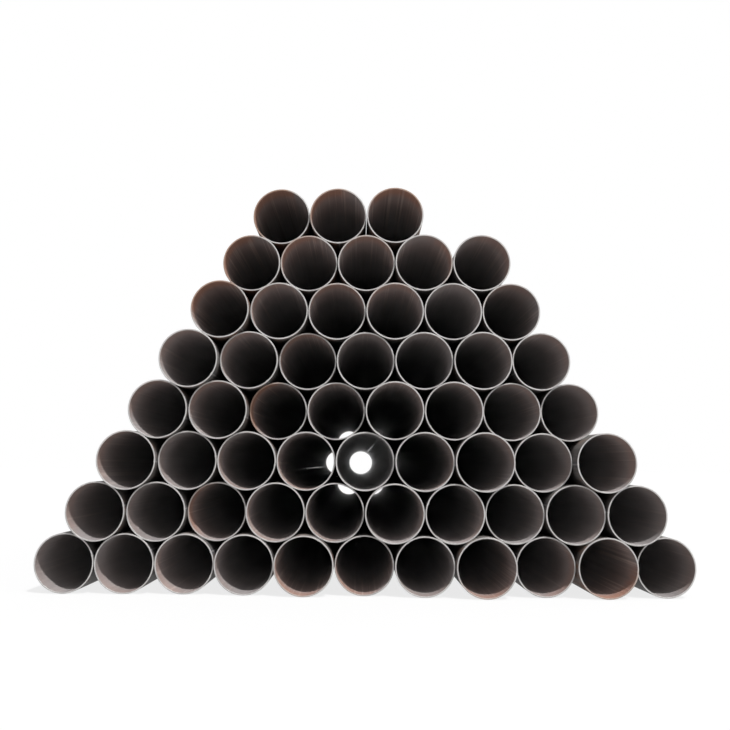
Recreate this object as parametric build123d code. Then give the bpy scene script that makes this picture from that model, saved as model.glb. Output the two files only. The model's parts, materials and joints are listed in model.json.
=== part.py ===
from build123d import *
import os
from math import sqrt

# A stack of plain-ended steel pipes, lying nested row upon row.
# X runs across the stack, Y along the pipes and Z up from the floor.
# The mouths that a viewer faces are at the -Y end.
# The origin is on the floor, under the middle of the stack's box.

# One pipe: a round welded tube with square-cut ends
OUTSIDE_DIAMETER = 273.1
WALL = 6.35
PIPE_LENGTH = 6000.0

# How the pipes lie: the bottom row on the floor with a small gap between
# neighbours, and each higher pipe in the valley between the two below it
SIDE_GAP = 2.3
SEAT_CLEARANCE = 0.3

# How far the proudest pipe stands out of the stack's mean end face
PROUDEST_END = 80.0

# Each pipe's end, row by row from the floor and from left to right, as a share
# of PROUDEST_END: above zero it stands proud of the front, below it lies back.
# Each row has one pipe fewer than the row below, and the top row lacks its last.
END_SHARES = (
    (-0.25, -0.25, -0.25, 0.0, 0.5, 0.0, 0.5, 1.0, 0.25, 0.75, 0.25),
    (0.0, -0.25, -0.75, -0.25, -0.25, 0.5, 0.5, 0.25, 0.5, 0.75),
    (0.25, -0.25, -0.25, -0.25, 0.0, 0.5, 0.75, 0.0, 1.0),
    (0.25, 0.0, -1.0, -0.75, 0.25, 0.25, -0.25, -0.5),
    (0.5, -0.25, -0.75, -0.25, 0.0, 0.25, 0.0),
    (0.25, -0.25, -0.25, 0.0, 0.0, 0.0),
    (-0.5, -0.5, -0.25, 0.0, 0.0),
    (-0.75, -0.5, -0.25),
)

# What follows from those sizes
outer_radius = OUTSIDE_DIAMETER / 2
bore_radius = outer_radius - WALL
pitch = OUTSIDE_DIAMETER + SIDE_GAP
row_rise = sqrt((OUTSIDE_DIAMETER + SEAT_CLEARANCE) ** 2 - (pitch / 2) ** 2)
bottom_row_span = pitch * (len(END_SHARES[0]) - 1)
all_shares = [share for row in END_SHARES for share in row]
middle_share = (max(all_shares) + min(all_shares)) / 2


def make_pipe():
    """One pipe about the Y axis, half its length to each side of the origin."""
    section = Circle(outer_radius) - Circle(bore_radius)
    return extrude(Plane.XZ * section, PIPE_LENGTH / 2, both=True)


def pipe_place(row, number, end_share):
    """Where the middle of a pipe's axis lies; rows and numbers count from zero."""
    x = pitch * (number + row / 2) - bottom_row_span / 2
    y = PROUDEST_END * (middle_share - end_share)
    z = outer_radius + row_rise * row
    return Pos(x, y, z)


def node_name(row, number):
    """The pipe's name, such as pipe_row1_01, counted from one."""
    return f"pipe_row{row + 1}_{number + 1:02d}"


def main():
    os.makedirs("parts", exist_ok=True)
    pipe = make_pipe()
    for row, shares in enumerate(END_SHARES):
        for number, end_share in enumerate(shares):
            name = node_name(row, number)
            placed = pipe_place(row, number, end_share) * pipe
            placed.label = name
            export_step(placed, f"parts/{name}.step")


main()
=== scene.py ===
import bpy
import json
import random
from math import pi, radians, tau
from mathutils import Euler, Matrix, Vector


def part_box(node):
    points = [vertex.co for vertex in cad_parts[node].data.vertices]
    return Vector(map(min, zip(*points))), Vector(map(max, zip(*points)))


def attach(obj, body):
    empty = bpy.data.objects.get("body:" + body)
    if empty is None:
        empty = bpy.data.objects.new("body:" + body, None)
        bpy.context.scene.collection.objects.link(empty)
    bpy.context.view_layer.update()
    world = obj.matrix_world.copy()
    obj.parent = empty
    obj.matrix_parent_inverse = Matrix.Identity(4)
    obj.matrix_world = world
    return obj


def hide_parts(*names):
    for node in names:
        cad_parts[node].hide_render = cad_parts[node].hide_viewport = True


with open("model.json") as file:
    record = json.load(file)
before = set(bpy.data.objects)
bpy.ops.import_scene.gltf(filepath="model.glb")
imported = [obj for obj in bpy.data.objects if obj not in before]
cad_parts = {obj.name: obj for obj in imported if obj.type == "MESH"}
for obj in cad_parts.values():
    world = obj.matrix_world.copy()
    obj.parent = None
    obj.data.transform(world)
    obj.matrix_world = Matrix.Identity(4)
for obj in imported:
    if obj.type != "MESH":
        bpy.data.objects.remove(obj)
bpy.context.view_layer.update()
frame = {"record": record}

# A stack of bare steel pipes. X runs across it, Y along the pipes from the mouths
# that the camera faces, and Z up from the floor. All lengths are in metres.

# The pipe's wall; its outside and its length come from each node's own box
MM_PER_METRE = 1000
BORE_RADIUS = frame["record"]["mounts"][0]["dims"]["r_mm"] / MM_PER_METRE
EDGE_BREAK = 0.0008

# The weld that closes each pipe, seen inside as a low ridge
WELD_HEIGHT = 0.0016
WELD_HALF_WIDTH = 0.0042

# How finely a pipe is rolled: flats round it, closer together at the weld, and steps along it
FLATS_ROUND = 144
WELD_CROWDING = 0.65
STEPS_ALONG = 8
JOIN_GAP = 0.00001

# Edges that turn more than this stay crisp, and a face that looks this much along the pipe is
# part of its cut end
CRISP_ANGLE = radians(35)
END_LOOK = 0.5

# Where the weld of each pipe lies, in hours of a clock face as seen from the mouths, row by
# row from the floor and from left to right. A dozen follow the pale lines in the photo; the
# others lie on the side of the bore that the camera can't see
HOURS_ROUND = 12
WELD_HOURS = (
    (2.5, 2.1, 2.2, 1.5, 1.0, 11.7, 10.8, 10.5, 9.8, 3.2, 9.5),
    (2.6, 2.8, 2.3, 1.9, 0.7, 11.0, 9.7, 2.3, 9.6, 9.2),
    (3.1, 2.7, 3.3, 8.3, 1.03, 9.2, 8.8, 9.3, 8.9),
    (3.6, 3.5, 4.2, 3.9, 8.2, 7.9, 8.6, 8.4),
    (4.1, 4.6, 5.0, 6.3, 7.0, 7.5, 8.2),
    (4.4, 0.6, 0.8, 0.1, 7.3, 7.6),
    (5.2, 9.9, 11.2, 6.5, 7.2),
    (5.3, 5.9, 0.6),
)

# How rusty the mouth of each pipe is, and at which hour of the clock, in the same order
RUST_SHARES = (
    (0.12, 0.18, 0.22, 0.15, 0.45, 0.45, 0.15, 0.45, 0.30, 0.60, 0.20),
    (0.25, 0.15, 0.50, 0.25, 0.25, 0.25, 0.20, 0.15, 0.15, 0.15),
    (0.30, 0.15, 0.25, 0.35, 0.00, 0.25, 0.25, 0.15, 0.30),
    (0.30, 0.35, 0.75, 0.25, 0.25, 0.25, 0.25, 0.20),
    (0.25, 0.30, 0.45, 0.20, 0.15, 0.20, 0.25),
    (0.75, 0.35, 0.45, 0.40, 0.15, 0.35),
    (0.85, 0.55, 0.45, 0.45, 0.35),
    (1.00, 0.70, 0.75),
)
RUST_HOURS = (
    (9.0, 6.5, 8.0, 9.0, 7.2, 7.6, 6.0, 6.2, 4.0, 5.6, 2.5),
    (10.0, 9.0, 9.5, 8.0, 8.0, 2.0, 3.0, 2.0, 3.0, 2.0),
    (10.0, 9.0, 8.0, 7.0, 0.0, 3.0, 1.0, 3.0, 2.0),
    (11.0, 11.0, 9.6, 11.0, 1.0, 1.0, 1.0, 2.0),
    (11.0, 10.5, 10.8, 0.0, 0.0, 1.0, 1.0),
    (11.0, 10.5, 11.8, 11.5, 1.0, 11.5),
    (9.8, 10.6, 0.2, 2.6, 1.6),
    (10.0, 10.4, 0.2),
)
TONE_SEED = 11

# The camera, fitted to the mouths and the far ends that the photo shows. Its angles are in
# degrees, and its reach is how far it sees
CAMERA_PLACE = (-0.032, -6.916, 0.600)
CAMERA_LEVEL = 90.0
CAMERA_PITCH = 6.687
CAMERA_YAW = -0.422
CAMERA_ROLL = 0.411
CAMERA_REACH = 500.0
LENS_MM = 41.42
SENSOR_MM = 36.0

# The light: a key from high on the right and a little in front, as the lit crescents in the
# mouths show it, and a soft fill from all round that is stronger from the right
TOWARDS_KEY = (0.32, -0.42, 0.85)
KEY_STRENGTH = 2.65
KEY_SPREAD = radians(2.5)
FILL_STRENGTH = 0.46
FILL_LEAN = (0.31, -0.06, -0.02)
FLOOR_SIDE = 120.0
FLOOR_GLOW_SHARE = 0.8
FLOOR_SEEN_WHITE = 0.92
FLOOR_LIT_GREY = 0.34
WHITE = (1.0, 1.0, 1.0, 1.0)


class Field:
    """A value in a node tree. Sums written with it add Math nodes to that tree."""

    def __init__(self, tree, socket):
        self.tree = tree
        self.socket = socket

    def math(self, operation, *others):
        return field(self.tree, "ShaderNodeMath", dict(enumerate((self, *others))), operation=operation)

    def __add__(self, other):
        return self.math("ADD", other)

    def __sub__(self, other):
        return self.math("SUBTRACT", other)

    def __rsub__(self, other):
        return (self * -1.0) + other

    def __mul__(self, other):
        return self.math("MULTIPLY", other)

    def __truediv__(self, other):
        return self.math("DIVIDE", other)

    def over(self, level):
        """1 where the value is over a level, else 0."""
        return self.math("GREATER_THAN", level)

    def at_most(self, level):
        """The value, held down to a level."""
        return self.math("MINIMUM", level)

    def rise(self, low, high):
        """0 up to low, 1 from high, and a smooth rise between."""
        return field(self.tree, "ShaderNodeMapRange", {0: self, 1: low, 2: high},
                     interpolation_type="SMOOTHSTEP")

    def fall(self, low, high):
        """1 up to low, 0 from high, and a smooth fall between."""
        return 1.0 - self.rise(low, high)

    def spread(self, low, high):
        """The value's range from 0 to 1 spread evenly from low to high."""
        return self * (high - low) + low


def add(tree, kind, inputs=None, **settings):
    """Adds a node. Each input is a plain value or a field to link."""
    node = tree.nodes.new(kind)
    for name, value in settings.items():
        setattr(node, name, value)
    for key, value in (inputs or {}).items():
        if isinstance(value, Field):
            tree.links.new(value.socket, node.inputs[key])
        else:
            node.inputs[key].default_value = value
    return node


def field(tree, kind, inputs=None, output=0, **settings):
    """Adds a node and returns one of its outputs as a field."""
    return Field(tree, add(tree, kind, inputs, **settings).outputs[output])


def parts_of(vector):
    """The three parts of a vector field."""
    node = add(vector.tree, "ShaderNodeSeparateXYZ", {0: vector})
    return [Field(vector.tree, output) for output in node.outputs]


def vector_of(tree, x, y, z):
    return field(tree, "ShaderNodeCombineXYZ", {0: x, 1: y, 2: z})


# The pipe's shape

SOCKETS = {float: "NodeSocketFloat", int: "NodeSocketInt", Vector: "NodeSocketVector",
           bpy.types.Material: "NodeSocketMaterial"}


def shape_tree(name, inputs):
    """A new geometry tree with named inputs. Returns it and the inputs as fields."""
    tree = bpy.data.node_groups.new(name, "GeometryNodeTree")
    for label, kind in inputs.items():
        tree.interface.new_socket(label, in_out="INPUT", socket_type=SOCKETS[kind])
    tree.interface.new_socket("Geometry", in_out="OUTPUT", socket_type="NodeSocketGeometry")
    start = tree.nodes.new("NodeGroupInput")
    return tree, {label: Field(tree, start.outputs[label]) for label in inputs}


def end_tree(tree, geometry):
    add(tree, "NodeGroupOutput", {"Geometry": geometry})
    return tree


def store(shape, name, value, kind="FLOAT", domain="POINT"):
    """Keeps a value on the shape under a name, for the finishes to read."""
    return field(shape.tree, "GeometryNodeStoreNamedAttribute",
                 {"Geometry": shape, "Name": name, "Value": value}, data_type=kind, domain=domain)


def strip_tree():
    """A strip of wall rolled once round the pipe's axis, from one circle to another."""
    tree, size = shape_tree("rolled_strip", {
        "Start Radius": float, "Start Along": float, "End Radius": float, "End Along": float,
        "Flats": int, "Steps": int, "Weld Angle": float, "Weld Crowding": float,
        "Map Left": float, "Map Right": float, "Map Start": float, "Map End": float,
    })

    # A flat sheet of unit size about the origin
    sheet = add(tree, "GeometryNodeMeshGrid", {
        "Size X": 1.0, "Size Y": 1.0, "Vertices X": size["Flats"] + 1, "Vertices Y": size["Steps"] + 1,
    })
    x, y, _ = parts_of(field(tree, "GeometryNodeInputPosition"))

    # Round the pipe from the side opposite the weld, by the weld and back
    turn = x * 2.0
    crowding = size["Weld Crowding"]
    angle = (turn.math("POWER", 3.0) * crowding + turn * (1.0 - crowding)) * pi + size["Weld Angle"]
    walked = y + 0.5
    radius = size["Start Radius"] + (size["End Radius"] - size["Start Radius"]) * walked
    along = size["Start Along"] + (size["End Along"] - size["Start Along"]) * walked
    place = vector_of(tree, angle.math("SINE") * radius, along, angle.math("COSINE") * radius)

    # The strip's own place on the flat map of the pipe
    across, up, _ = parts_of(Field(tree, sheet.outputs["UV Map"]))
    left, start = size["Map Left"], size["Map Start"]
    flat = vector_of(tree, left + (size["Map Right"] - left) * across,
                     start + (size["Map End"] - start) * up, 0.0)
    mapped = store(Field(tree, sheet.outputs["Mesh"]), "OFBake", flat, "FLOAT2", "CORNER")
    return end_tree(tree, field(tree, "GeometryNodeSetPosition", {"Geometry": mapped, "Position": place}))


# The flat map of a pipe: its outside on the left half and its bore on the right, with
# the walls between two narrow bands that hold the cut ends and their broken edges
OUTSIDE_MAP = (0.004, 0.496)
BORE_MAP = (0.504, 0.996)
MAP_EDGES = (0.004, 0.030, 0.040, 0.960, 0.970, 0.996)


def wall_strips(tree, size, strip):
    """The wall's section walked once round: out along the outside and home along the bore."""
    outside, bore, length, edge = (size[n] for n in ("Outside Radius", "Bore Radius", "Length", "Edge Break"))
    outer_lip, bore_lip = outside - edge, bore + edge
    first, lip, wall, far_wall, far_lip, last = MAP_EDGES

    def strip_of(start, end, columns, map_start, map_end, steps=1):
        return field(tree, "GeometryNodeGroup", {
            "Start Radius": start[0], "Start Along": start[1], "End Radius": end[0], "End Along": end[1],
            "Flats": size["Flats"], "Steps": steps,
            "Weld Angle": size["Weld Angle"], "Weld Crowding": size["Weld Crowding"],
            "Map Left": columns[0], "Map Right": columns[1], "Map Start": map_start, "Map End": map_end,
        }, node_tree=strip)

    near_out, near_wall = (outer_lip, 0.0), (outside, edge)
    far_out_wall, far_out = (outside, length - edge), (outer_lip, length)
    far_in, far_bore = (bore_lip, length), (bore, length - edge)
    near_bore, near_in = (bore, edge), (bore_lip, 0.0)
    strips = [
        strip_of(near_in, near_out, OUTSIDE_MAP, first, lip),
        strip_of(near_out, near_wall, OUTSIDE_MAP, lip, wall),
        strip_of(near_wall, far_out_wall, OUTSIDE_MAP, wall, far_wall, size["Steps"]),
        strip_of(far_out_wall, far_out, OUTSIDE_MAP, far_wall, far_lip),
        strip_of(far_out, far_in, OUTSIDE_MAP, far_lip, last),
        strip_of(far_in, far_bore, BORE_MAP, far_lip, far_wall),
        strip_of(far_bore, near_bore, BORE_MAP, far_wall, wall, size["Steps"]),
        strip_of(near_bore, near_in, BORE_MAP, wall, lip),
    ]
    joined = tree.nodes.new("GeometryNodeJoinGeometry")
    for one in reversed(strips):
        tree.links.new(one.socket, joined.inputs[0])
    return field(tree, "GeometryNodeMergeByDistance",
                 {"Geometry": Field(tree, joined.outputs[0]), "Distance": JOIN_GAP})


def pipe_tree(strip):
    """One whole pipe with its weld ridge, broken edges, finishes and the values that those read."""
    tree, size = shape_tree("pipe", {
        "Outside Radius": float, "Bore Radius": float, "Length": float, "Edge Break": float,
        "Flats": int, "Steps": int, "Weld Angle": float, "Weld Crowding": float,
        "Weld Height": float, "Weld Half Width": float, "Mouth Centre": Vector,
        "Rust": float, "Rust Angle": float, "Tone": float,
        "Outer Wall": bpy.types.Material, "Bore Wall": bpy.types.Material, "Sawn End": bpy.types.Material,
    })
    shape = wall_strips(tree, size, strip)

    # How far each point lies from the weld, measured round the bore
    place = field(tree, "GeometryNodeInputPosition")
    x, y, z = parts_of(place)
    weld_x, weld_z = size["Weld Angle"].math("SINE"), size["Weld Angle"].math("COSINE")
    towards = x * weld_x + z * weld_z
    aside = x * weld_z - z * weld_x
    from_weld = aside.math("ARCTAN2", towards).math("ABSOLUTE") * size["Bore Radius"]
    radius = (x * x + z * z).math("SQRT")

    # What the finishes read
    shape = store(shape, "pipe_place", place, "FLOAT_VECTOR")
    shape = store(shape, "from_weld", from_weld)
    shape = store(shape, "from_end", y.math("MINIMUM", size["Length"] - y))
    rust_x, rust_z = size["Rust Angle"].math("SINE"), size["Rust Angle"].math("COSINE")
    shape = store(shape, "rust_side", (x * rust_x + z * rust_z) / radius)
    shape = store(shape, "pipe_rust", size["Rust"])
    shape = store(shape, "pipe_tone", size["Tone"])

    # The weld's ridge stands out of the bore and fades to nothing through the wall
    across = from_weld / size["Weld Half Width"]
    ridge = (across * across * -1.0).math("EXPONENT") * size["Weld Height"]
    inwards = (size["Outside Radius"] - radius) / (size["Outside Radius"] - size["Bore Radius"])
    share = ridge * inwards / radius
    push = vector_of(tree, x * share * -1.0, 0.0, z * share * -1.0)
    shape = field(tree, "GeometryNodeSetPosition", {"Geometry": shape, "Offset": push})

    # Smooth walls with crisp edges
    shape = field(tree, "GeometryNodeSetShadeSmooth",
                  {"Geometry": shape, "Shade Smooth": True}, domain="FACE")
    crisp = field(tree, "GeometryNodeInputMeshEdgeAngle").over(CRISP_ANGLE)
    shape = field(tree, "GeometryNodeSetShadeSmooth",
                  {"Geometry": shape, "Selection": crisp, "Shade Smooth": False}, domain="EDGE")

    # Faces that look along the pipe are cut ends; those that look at its axis are the bore
    shape = field(tree, "GeometryNodeTransform", {"Geometry": shape, "Translation": size["Mouth Centre"]})
    shape = field(tree, "GeometryNodeRealizeInstances", {"Geometry": shape})
    own_place = field(tree, "GeometryNodeInputNamedAttribute",
                      {"Name": "pipe_place"}, data_type="FLOAT_VECTOR")
    axis_x, _, axis_z = parts_of(own_place)
    face_x, face_y, face_z = parts_of(field(tree, "GeometryNodeInputNormal"))
    looks_along = face_y.math("ABSOLUTE").over(END_LOOK)
    looks_in = (face_x * axis_x + face_z * axis_z).math("LESS_THAN", 0.0) * (1.0 - looks_along)
    shape = field(tree, "GeometryNodeSetMaterial", {"Geometry": shape, "Material": size["Outer Wall"]})
    for chosen, finish in ((looks_in, "Bore Wall"), (looks_along, "Sawn End")):
        shape = field(tree, "GeometryNodeSetMaterial",
                      {"Geometry": shape, "Selection": chosen, "Material": size[finish]})
    return end_tree(tree, shape)


def made_by(tree, name, values):
    """A plain mesh object made by a geometry tree from these input values."""
    maker = bpy.data.objects.new(name + "_maker", bpy.data.meshes.new(name + "_maker"))
    bpy.context.scene.collection.objects.link(maker)
    modifier = maker.modifiers.new("shape", "NODES")
    modifier.node_group = tree
    for item in tree.interface.items_tree:
        if item.in_out == "INPUT":
            modifier[item.identifier] = values[item.name]
    evaluated = maker.evaluated_get(bpy.context.evaluated_depsgraph_get())
    mesh = bpy.data.meshes.new_from_object(evaluated)
    mesh.name = name
    bpy.data.objects.remove(maker)
    piece = bpy.data.objects.new(name, mesh)
    bpy.context.scene.collection.objects.link(piece)
    return piece


# The finishes

def finish_tree(name):
    """A new material: its node tree and its shader node."""
    material = bpy.data.materials.new(name)
    material.use_nodes = True
    tree = material.node_tree
    return material, tree, tree.nodes["Principled BSDF"]


def own_value(tree, name, output="Fac"):
    """A value that the pipe's mesh carries."""
    return field(tree, "ShaderNodeAttribute", output=output, attribute_name=name)


def grain(tree, across, along, detail, roughness=0.5, offset=0.0):
    """Noise from 0 to 1, with its fineness per metre across the pipes and along them."""
    spot = field(tree, "ShaderNodeTexCoord", output="Object")
    scaled = field(tree, "ShaderNodeMapping",
                   {"Vector": spot, "Location": (offset, offset, offset), "Scale": (across, along, across)})
    return field(tree, "ShaderNodeTexNoise",
                 {"Vector": scaled, "Scale": 1.0, "Detail": detail, "Roughness": roughness}, output="Fac")


def blend(share, low, high):
    """One colour where the share is 0 and another where it is 1; each is a colour or a field."""
    def colour(value):
        return value if isinstance(value, Field) else (*value, 1.0)
    return field(share.tree, "ShaderNodeMix", {0: share, 6: colour(low), 7: colour(high)},
                 output=2, data_type="RGBA")


def shade(colour, level):
    """A colour made lighter or darker by a factor."""
    return field(colour.tree, "ShaderNodeVectorMath", {0: colour, "Scale": level}, operation="SCALE")


def relief(height, depth):
    """A bumped normal; height from 0 to 1 stands for depth in metres."""
    return field(height.tree, "ShaderNodeBump",
                 {"Height": height, "Distance": depth, "Strength": 1.0}, output="Normal")


def wire(tree, shader, **inputs):
    """Links fields to the shader's sockets, with _ for a space in their names."""
    for name, value in inputs.items():
        tree.links.new(value.socket, shader.inputs[name.replace("_", " ")])


# The inside of a pipe. Here and below, a pair of colours is a darker and a paler one, a reach
# is where a change begins and ends, measured from the pipe's end, and a band is the same,
# measured from the weld
BORE_DUST = ((0.38, 0.360, 0.359), (0.48, 0.457, 0.456))
# Paler steel deep in the bore: partly cleaner steel, partly painted light that lifts the dark depth
CLEAN_BORE_AND_PAINTED_LIGHT = (0.68, 0.670, 0.672)
CLEAN_AND_PAINTED_LIGHT_REACH = (0.2, 0.9)
BROWN_DUST = (0.43, 0.332, 0.312)
BROWN_REACH = (0.12, 0.5)
BORE_STAIN = (0.24, 0.212, 0.204)
STAIN_REACH = (0.2, 1.4)
WASHED_LINE = (0.74, 0.660, 0.615)
WASHED_REACH = (0.15, 1.0)
BORE_RUST = ((0.36, 0.158, 0.105), (0.54, 0.262, 0.165))
THICK_RUST_REACH = (0.03, 0.16)
THIN_RUST_REACH = (0.16, 0.6)
# The weld's paler colour, growing deeper in, is partly bare metal and partly a painted highlight
BARE_WELD_AND_HIGHLIGHT = (0.66, 0.62, 0.59)
BARE_WELD_AND_HIGHLIGHT_REACH = (0.2, 2.5)
BARE_WELD_AND_HIGHLIGHT_BAND = (0.003, 0.007)
BARE_WELD_ROUGHNESS = 0.20
BORE_ROUGHNESS = (0.36, 0.48)
BORE_RELIEF = 0.0003
BORE_IOR = 1.6


def bore_wall():
    """The inside of a pipe: dusty streaked grey, brown and rusty at the mouth, paler deep in where painted
    light lifts its dark depth, with the bare weld partly a painted highlight.
    """
    material, tree, shader = finish_tree("bore_wall")
    from_end = own_value(tree, "from_end")
    rust = own_value(tree, "pipe_rust")
    streaks = grain(tree, 38.0, 0.35, detail=4.0, roughness=0.6)
    fine_streaks = grain(tree, 260.0, 2.2, detail=2.0, offset=3.1)
    runs = grain(tree, 85.0, 0.3, detail=2.0, offset=12.3)
    blotches = grain(tree, 9.0, 2.6, detail=5.0, roughness=0.6, offset=7.7)
    specks = grain(tree, 420.0, 160.0, detail=2.0, roughness=0.6)

    # Dust that gives way to cleaner, paler steel further in, which also paints light into the dark depth of
    # the bore, and is browner near a rusty mouth
    bore_base = blend(blotches.rise(0.3, 0.72), *BORE_DUST)
    bore_base = blend(from_end.rise(*CLEAN_AND_PAINTED_LIGHT_REACH), bore_base, CLEAN_BORE_AND_PAINTED_LIGHT)
    browned = (rust * 0.9).at_most(0.4) * from_end.fall(*BROWN_REACH)
    bore_base = blend(browned, bore_base, BROWN_DUST)

    # Dark stains and pale washed lines along the pipe, both stronger where it is rusty
    weathered = (rust * 0.6 + 0.05) * (1.0 - from_end.rise(*STAIN_REACH) * 0.8)
    stained = streaks.fall(0.34, 0.50) * weathered * 0.7
    streaked = blend(stained, bore_base, BORE_STAIN)
    washed = runs.rise(0.56, 0.66) * (rust * 1.3).at_most(0.85) * from_end.fall(*WASHED_REACH)
    streaked = blend(washed, streaked, WASHED_LINE)

    # Rust, most of it on one side of the mouth
    near_end = 1.0 - from_end.rise(*THICK_RUST_REACH) * 0.75 - from_end.rise(*THIN_RUST_REACH) * 0.25
    patch = own_value(tree, "rust_side") + blotches.spread(-0.8, 0.8) + streaks.spread(-0.4, 0.4)
    rusting = (rust * 1.6 * patch.rise(-0.1, 0.9)).at_most(1.0) * near_end
    colour = blend(rusting * 0.85, streaked, blend(specks, *BORE_RUST))

    # The weld, barer away from the weather and paler deeper in, where its colour is partly a painted
    # highlight
    indoors_and_highlight = from_end.rise(*BARE_WELD_AND_HIGHLIGHT_REACH).spread(0.2, 1.0)
    bare_and_highlight = own_value(tree, "from_weld").fall(*BARE_WELD_AND_HIGHLIGHT_BAND) * indoors_and_highlight
    colour = blend(bare_and_highlight * 0.7, colour, BARE_WELD_AND_HIGHLIGHT)

    tone = own_value(tree, "pipe_tone") * 0.10 + fine_streaks.spread(-0.10, 0.10) + (1.0 - rust * 0.12)
    rough = streaks.spread(*BORE_ROUGHNESS) + rust.at_most(0.25) + rusting * 0.15
    wire(tree, shader,
         Base_Color=shade(colour, tone),
         Roughness=rough - bare_and_highlight * (rough - BARE_WELD_ROUGHNESS),
         Normal=relief(specks * 0.5 + fine_streaks * 0.5, BORE_RELIEF))
    shader.inputs["IOR"].default_value = BORE_IOR
    return material


# The outside of a pipe
MILL_SCALE = ((0.115, 0.108, 0.106), (0.190, 0.175, 0.167))
DARK_SCALE = (0.068, 0.068, 0.073)
ROLLING_STREAK = (0.27, 0.250, 0.238)
OUTER_RUST = ((0.17, 0.070, 0.036), (0.35, 0.160, 0.080))
OUTER_RUST_REACH = (0.0, 0.45)
TOP_DUST = (0.29, 0.266, 0.246)
HEAT_TINT = (0.085, 0.088, 0.102)
HEAT_TINT_BAND = (0.006, 0.018)
TRIMMED_WELD = (0.42, 0.405, 0.390)
TRIMMED_WELD_BAND = (0.002, 0.005)
SCRATCH = (0.48, 0.46, 0.44)
OUTER_ROUGHNESS = (0.56, 0.72)
OUTER_RELIEF = 0.0008
OUTER_IOR = 1.4


def outer_wall():
    """The outside of a pipe: mill scale with rolling streaks, rust, dust on top and scratches."""
    material, tree, shader = finish_tree("outer_wall")
    _, along, up = parts_of(own_value(tree, "pipe_place", "Vector"))
    streaks = grain(tree, 48.0, 0.5, detail=4.0, roughness=0.6, offset=1.7)
    scratches = grain(tree, 330.0, 3.0, detail=2.0, offset=5.3)
    blotches = grain(tree, 7.0, 1.3, detail=6.0, roughness=0.62, offset=9.1)
    patches = grain(tree, 17.0, 2.6, detail=6.0, roughness=0.65, offset=2.9)
    specks = grain(tree, 380.0, 220.0, detail=2.0, roughness=0.6)

    # Mill scale with darker patches and the streaks of the rolls
    scale = blend(blotches.rise(0.34, 0.66), *MILL_SCALE)
    scale = blend(patches.rise(0.54, 0.66) * 0.7, scale, DARK_SCALE)
    streaked = blend(streaks.rise(0.48, 0.70) * 0.5, scale, ROLLING_STREAK)

    # Rust in patches, more of it near the mouth, and dust that has settled on top
    weathered = own_value(tree, "pipe_rust") * 0.17 + along.fall(*OUTER_RUST_REACH) * 0.10
    rusting = (patches * 0.55 + blotches * 0.25 + weathered).rise(0.52, 0.74)
    colour = blend(rusting * 0.8, streaked, blend(specks, *OUTER_RUST))
    dust = (up / BORE_RADIUS + blotches.spread(-0.5, 0.5)).rise(0.35, 1.1)
    colour = blend(dust * 0.3, colour, TOP_DUST)

    # The trimmed weld between its heat tints, and scratches over all
    from_weld = own_value(tree, "from_weld")
    colour = blend(from_weld.fall(*HEAT_TINT_BAND) * 0.6, colour, HEAT_TINT)
    colour = blend(from_weld.fall(*TRIMMED_WELD_BAND) * 0.6, colour, TRIMMED_WELD)
    scratched = scratches.rise(0.66, 0.74)
    colour = blend(scratched * 0.35, colour, SCRATCH)

    tone = own_value(tree, "pipe_tone") * 0.16 + 1.0
    wire(tree, shader,
         Base_Color=shade(colour, tone),
         Roughness=streaks.spread(*OUTER_ROUGHNESS) + rusting * 0.2 - scratched * 0.15,
         Normal=relief(specks * 0.4 + patches * 0.6 + rusting * 0.3, OUTER_RELIEF))
    shader.inputs["IOR"].default_value = OUTER_IOR
    return material


# The cut ends
SAWN_STEEL = ((0.52, 0.505, 0.494), (0.675, 0.660, 0.647))
SAW_LINE = (0.36, 0.340, 0.325)
SAW_TILT = radians(24)
SAW_FINENESS = 160.0
END_RUST = ((0.30, 0.155, 0.090), (0.46, 0.270, 0.170))
END_ROUGHNESS = (0.44, 0.56)
END_RELIEF = 0.0002
END_METALLIC = 0.35


def sawn_end():
    """The cut ends: pale bare steel with saw lines, dulled and tinted by the first rust."""
    material, tree, shader = finish_tree("sawn_end")
    place = own_value(tree, "pipe_place", "Vector")
    turned = field(tree, "ShaderNodeMapping", {"Vector": place, "Rotation": (0.0, SAW_TILT, 0.0)})
    saw_lines = field(tree, "ShaderNodeTexWave", {
        "Vector": turned, "Scale": SAW_FINENESS, "Distortion": 1.2, "Detail": 2.0, "Detail Scale": 0.6,
    }, output="Fac", bands_direction="X")
    blotches = grain(tree, 22.0, 22.0, detail=5.0, roughness=0.6, offset=4.4)
    specks = grain(tree, 500.0, 500.0, detail=2.0, roughness=0.6)

    steel = blend(blotches.rise(0.3, 0.7), *SAWN_STEEL)
    steel = blend(saw_lines * 0.16, steel, SAW_LINE)
    rust = own_value(tree, "pipe_rust") * own_value(tree, "rust_side").rise(-0.6, 0.9)
    rusting = (rust * 0.9 + blotches * 0.6).rise(0.50, 1.05)
    wire(tree, shader,
         Base_Color=blend(rusting * 0.8, steel, blend(specks, *END_RUST)),
         Roughness=rusting * 0.25 + saw_lines.spread(*END_ROUGHNESS),
         Normal=relief(saw_lines * 0.6 + specks * 0.4, END_RELIEF))
    shader.inputs["Metallic"].default_value = END_METALLIC
    return material


# The pieces

def pipe_nodes():
    """Each pipe's row and number from zero, with its node's name."""
    for row, hours in enumerate(WELD_HOURS):
        for number in range(len(hours)):
            yield row, number, f"pipe_row{row + 1}_{number + 1:02d}"


def clock_angle(hour):
    """The angle of an hour on the clock face, from the top and clockwise as seen from the mouths."""
    return hour / HOURS_ROUND * tau


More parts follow.
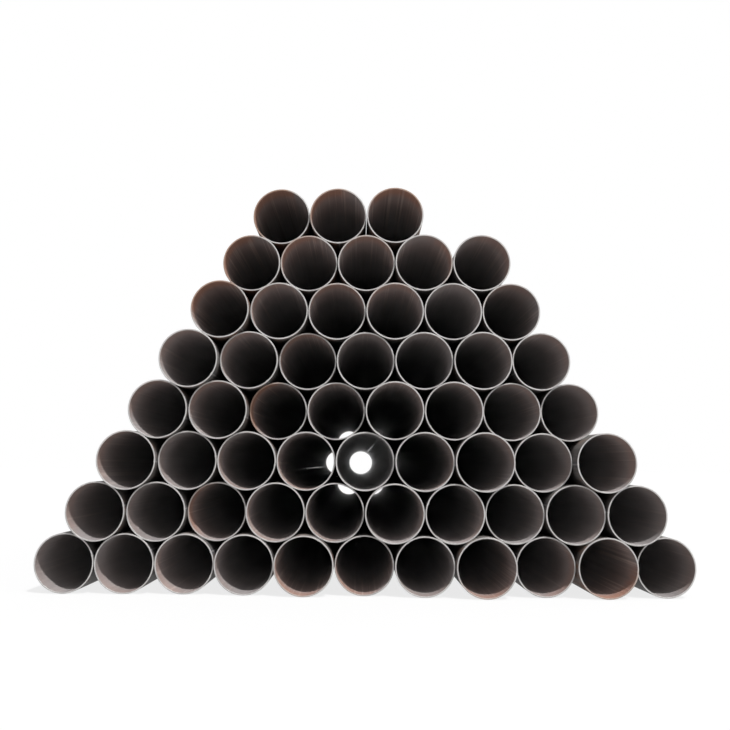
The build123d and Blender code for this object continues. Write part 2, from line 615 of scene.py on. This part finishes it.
def make_pipes():
    tree = pipe_tree(strip_tree())
    finishes = {"Outer Wall": outer_wall(), "Bore Wall": bore_wall(), "Sawn End": sawn_end()}
    tones = random.Random(TONE_SEED)
    for row, number, node in pipe_nodes():
        low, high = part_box(node)
        middle = (low + high) / 2
        piece = made_by(tree, node.replace("pipe", "steel_pipe"), {
            "Outside Radius": (high.z - low.z) / 2,
            "Bore Radius": BORE_RADIUS,
            "Length": high.y - low.y,
            "Edge Break": EDGE_BREAK,
            "Flats": FLATS_ROUND,
            "Steps": STEPS_ALONG,
            "Weld Angle": clock_angle(WELD_HOURS[row][number]),
            "Weld Crowding": WELD_CROWDING,
            "Weld Height": WELD_HEIGHT,
            "Weld Half Width": WELD_HALF_WIDTH,
            "Mouth Centre": (middle.x, low.y, middle.z),
            "Rust": RUST_SHARES[row][number],
            "Rust Angle": clock_angle(RUST_HOURS[row][number]),
            "Tone": tones.uniform(-1.0, 1.0),
            **finishes,
        })
        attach(piece, "root")
        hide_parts(node)


# The stage

def seen_directly(tree):
    """1 for rays that show a thing as it is: from the camera, in a shine or through glass."""
    path = tree.nodes.new("ShaderNodeLightPath")
    kinds = ("Is Camera Ray", "Is Glossy Ray", "Is Transmission Ray")
    camera, shine, glass = (Field(tree, path.outputs[kind]) for kind in kinds)
    return camera.math("MAXIMUM", shine).math("MAXIMUM", glass)


def make_floor():
    half = FLOOR_SIDE / 2
    corners = [(-half, -half, 0.0), (half, -half, 0.0), (half, half, 0.0), (-half, half, 0.0)]
    mesh = bpy.data.meshes.new("floor")
    mesh.from_pydata(corners, [], [(0, 1, 2, 3)])
    floor = bpy.data.objects.new("floor", mesh)
    bpy.context.scene.collection.objects.link(floor)

    material = bpy.data.materials.new("pale_floor")
    material.use_nodes = True
    tree = material.node_tree
    tree.nodes.clear()
    seen = seen_directly(tree)
    level = seen.spread(FLOOR_LIT_GREY, FLOOR_SEEN_WHITE)
    matt = field(tree, "ShaderNodeBsdfDiffuse", {"Color": vector_of(tree, level, level, level)})
    glow = field(tree, "ShaderNodeEmission", {"Color": WHITE, "Strength": 1.0})
    mixed = field(tree, "ShaderNodeMixShader", {0: seen * FLOOR_GLOW_SHARE, 1: matt, 2: glow})
    add(tree, "ShaderNodeOutputMaterial", {"Surface": mixed})
    mesh.materials.append(material)


def make_light():
    world = bpy.data.worlds.new("studio")
    bpy.context.scene.world = world
    world.use_nodes = True
    tree = world.node_tree
    tree.nodes.clear()
    direction = field(tree, "ShaderNodeTexCoord", output="Generated")
    lean = field(tree, "ShaderNodeVectorMath", {0: direction, 1: FILL_LEAN},
                 output="Value", operation="DOT_PRODUCT")
    fill = field(tree, "ShaderNodeBackground", {"Color": WHITE, "Strength": lean + FILL_STRENGTH})
    backdrop = field(tree, "ShaderNodeBackground", {"Color": WHITE, "Strength": 1.0})
    mixed = field(tree, "ShaderNodeMixShader", {0: seen_directly(tree), 1: fill, 2: backdrop})
    add(tree, "ShaderNodeOutputWorld", {"Surface": mixed})

    key = bpy.data.lights.new("key", "SUN")
    key.energy = KEY_STRENGTH
    key.angle = KEY_SPREAD
    lamp = bpy.data.objects.new("key", key)
    lamp.rotation_euler = Vector(TOWARDS_KEY).to_track_quat("Z", "Y").to_euler()
    bpy.context.scene.collection.objects.link(lamp)


def make_camera():
    lens = bpy.data.cameras.new("camera")
    lens.lens = LENS_MM
    lens.sensor_width = SENSOR_MM
    lens.clip_end = CAMERA_REACH
    camera = bpy.data.objects.new("camera", lens)
    aim = Euler((radians(CAMERA_LEVEL + CAMERA_PITCH), 0.0, radians(CAMERA_YAW))).to_matrix()
    turned = aim @ Matrix.Rotation(radians(CAMERA_ROLL), 3, "Z")
    camera.matrix_world = Matrix.Translation(CAMERA_PLACE) @ turned.to_4x4()
    bpy.context.scene.collection.objects.link(camera)
    bpy.context.scene.camera = camera


make_pipes()
make_floor()
make_light()
make_camera()
bpy.context.scene.view_settings.view_transform = "Standard"
